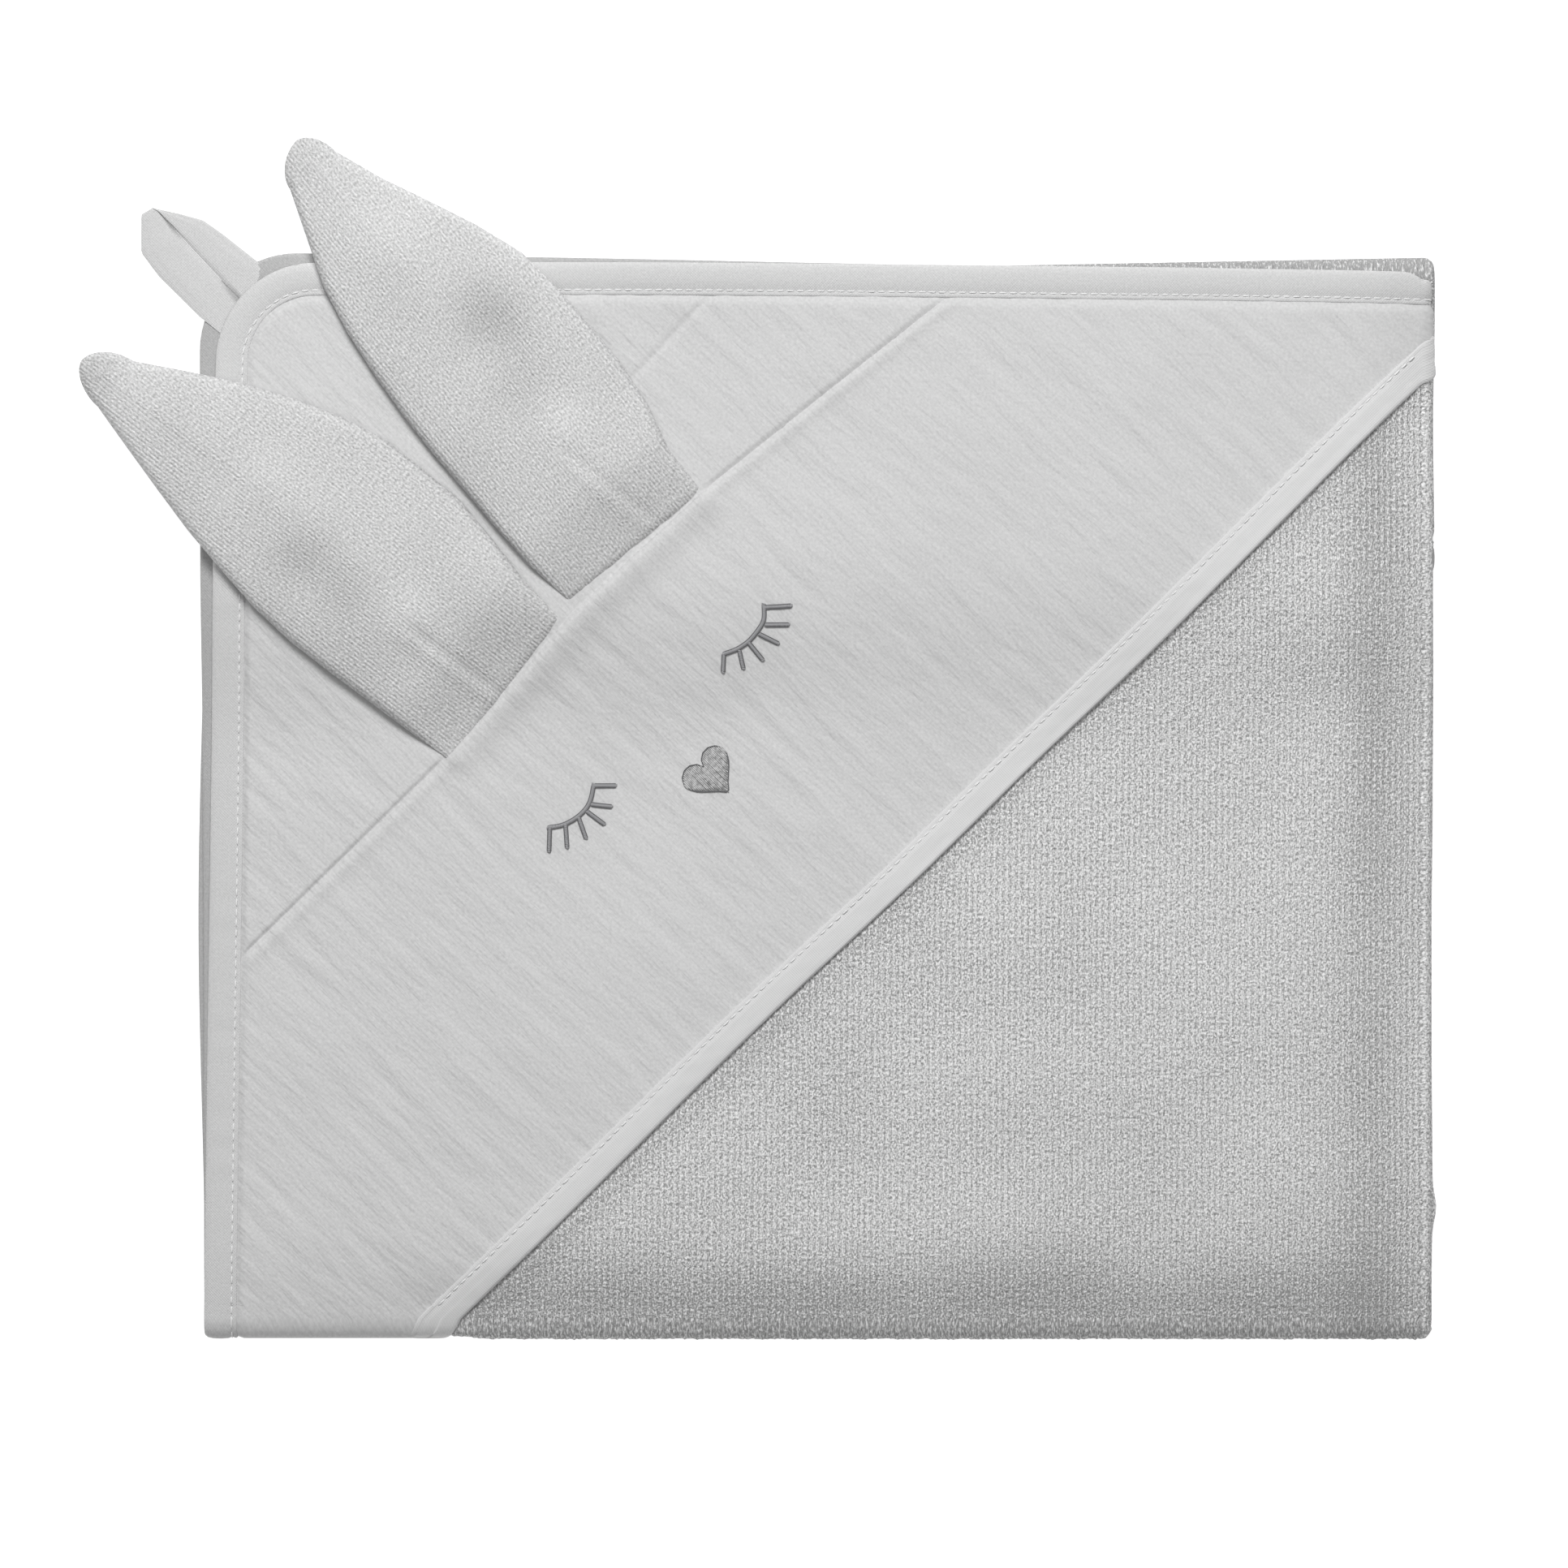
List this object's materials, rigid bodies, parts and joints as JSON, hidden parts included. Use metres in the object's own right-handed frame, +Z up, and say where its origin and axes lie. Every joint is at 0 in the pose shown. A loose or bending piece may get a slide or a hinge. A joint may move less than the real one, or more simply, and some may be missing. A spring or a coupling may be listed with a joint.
{
  "type": "hooded baby towel",
  "caption": "Folded square terry towel with a muslin corner hood, floppy ears, sewn sleeping eyes, a heart nose, taped edges and a hanging loop.",
  "frame": {"origin": "middle of the terry face that lies on the table", "axes": "+X to the rounded side of the crosswise fold, +Y to the far edge of the pile, +Z up, away from the table"},
  "size_m": [0.4145, 0.3636, 0.0308],
  "materials": {
    "terry": "looped cotton terry with upright wales, soft grey",
    "ear_terry": "fine knit terry with slanting ribs, soft grey",
    "muslin": "crinkled double cotton muslin, pale grey",
    "tape": "flat bias-cut cotton tape with a row of stitches",
    "thread": "satin-stitched embroidery thread, mid grey"
  },
  "bodies": {
    "back": {"terry_back": "terry", "edge_binding_back": "tape", "hood_face_tail": "muslin", "hood_opening_tape_tail": "tape", "terry_near_fold": "terry", "edge_binding_near_fold_inner": "tape", "edge_binding_near_fold_outer": "tape", "hood_face_near_fold": "muslin", "hood_opening_tape_near_fold": "tape"},
    "front": {"terry_front": "terry", "edge_binding_front": "tape", "hood_rear_panel": "muslin", "hood_face_panel": "muslin", "hood_opening_tape": "tape", "eye_upper": "thread", "eye_lower": "thread", "heart_nose": "thread"},
    "ear_upper": {"ear_upper_lining": "ear_terry", "ear_upper_outer": "ear_terry"},
    "ear_lower": {"ear_lower_lining": "ear_terry", "ear_lower_outer": "ear_terry"},
    "loop": {"hanging_loop": "tape"}
  },
  "joints": [
    {"name": "towel_open", "type": "hinge", "parent": "back", "child": "front", "pos_m": [0, -0.15755, 0.00645], "axis": [1, 0, 0], "range_deg": [0, 150], "deforming": ["terry_near_fold", "edge_binding_near_fold_inner", "edge_binding_near_fold_outer", "hood_face_near_fold", "hood_opening_tape_near_fold"]},
    {"name": "ear_upper_flop", "type": "hinge", "parent": "front", "child": "ear_upper", "pos_m": [-0.05367, 0.07528, 0.02422], "axis": [0.7071, 0.7068, 0.0205], "range_deg": [0, 165]},
    {"name": "ear_lower_flop", "type": "hinge", "parent": "front", "child": "ear_lower", "pos_m": [-0.09567, 0.0333, 0.023], "axis": [0.7071, 0.7068, 0.0205], "range_deg": [0, 165]},
    {"name": "loop_lift", "type": "hinge", "parent": "front", "child": "loop", "pos_m": [-0.17856, 0.15483, 0.01883], "axis": [0.7071, 0.7068, 0.0205], "range_deg": [0, 90]}
  ]
}
